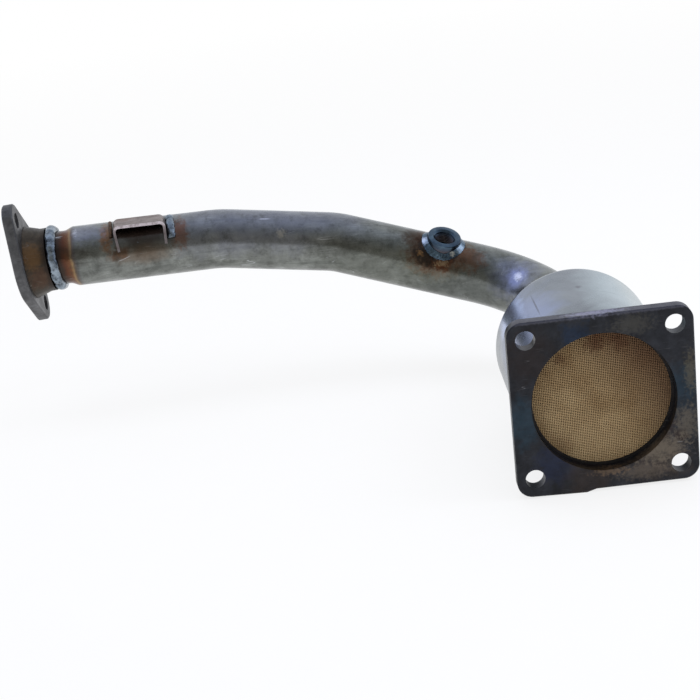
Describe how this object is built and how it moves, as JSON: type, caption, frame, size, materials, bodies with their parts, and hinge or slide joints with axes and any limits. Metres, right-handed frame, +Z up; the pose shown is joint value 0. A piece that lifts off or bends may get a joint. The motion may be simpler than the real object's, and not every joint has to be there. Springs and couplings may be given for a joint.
{
  "type": "catalytic converter",
  "caption": "Exhaust catalytic converter: a square inlet flange, a round can with its ceramic core, and a bent outlet pipe with a sensor boss, a bracket and a bolted flange.",
  "frame": {"origin": "centre of the inlet flange's gasket face", "axes": "+Y runs into the can along its axis, so the inlet faces -Y; +X lies along the flange's lower edge and the outlet pipe leaves to -X; +Z runs up the flange's side"},
  "size_m": [0.5056, 0.3263, 0.1923],
  "materials": {
    "oxidised_flange": "dark blue oxide with brown heat tints and scuffed edges",
    "stainless_can": "bright drawn stainless, fine scratches",
    "ceramic": "matt tan ceramic honeycomb, brown stains",
    "mat": "matt fibre mat",
    "dark_steel": "dark heat-stained steel",
    "pipe_steel": "raw drawn steel, straw and brown heat tints by the welds",
    "boss_steel": "machined steel with a dark blue heat tint",
    "boss_weld": "blue-grey rippled weld",
    "bracket_steel": "pinkish brown rolled steel",
    "bright_weld": "silver-grey rippled weld",
    "collar_steel": "dark brown heat-tinted steel",
    "outlet_flange_steel": "dark grey oxide",
    "dark_weld": "dark heat-tinted weld"
  },
  "bodies": {
    "root": {"inlet_flange": "oxidised_flange", "can_shell": "stainless_can", "catalyst_monolith": "ceramic", "support_mat": "mat", "inlet_end_ring": "dark_steel", "outlet_end_ring": "dark_steel", "downpipe": "pipe_steel", "sensor_boss": "boss_steel", "sensor_boss_weld": "boss_weld", "mounting_bracket": "bracket_steel", "bracket_weld_inner": "bright_weld", "bracket_weld_outer": "bright_weld", "outlet_collar": "collar_steel", "outlet_flange": "outlet_flange_steel", "inlet_flange_weld": "dark_weld", "neck_weld": "dark_weld", "collar_weld": "bright_weld", "outlet_flange_weld": "dark_weld"}
  },
  "joints": []
}
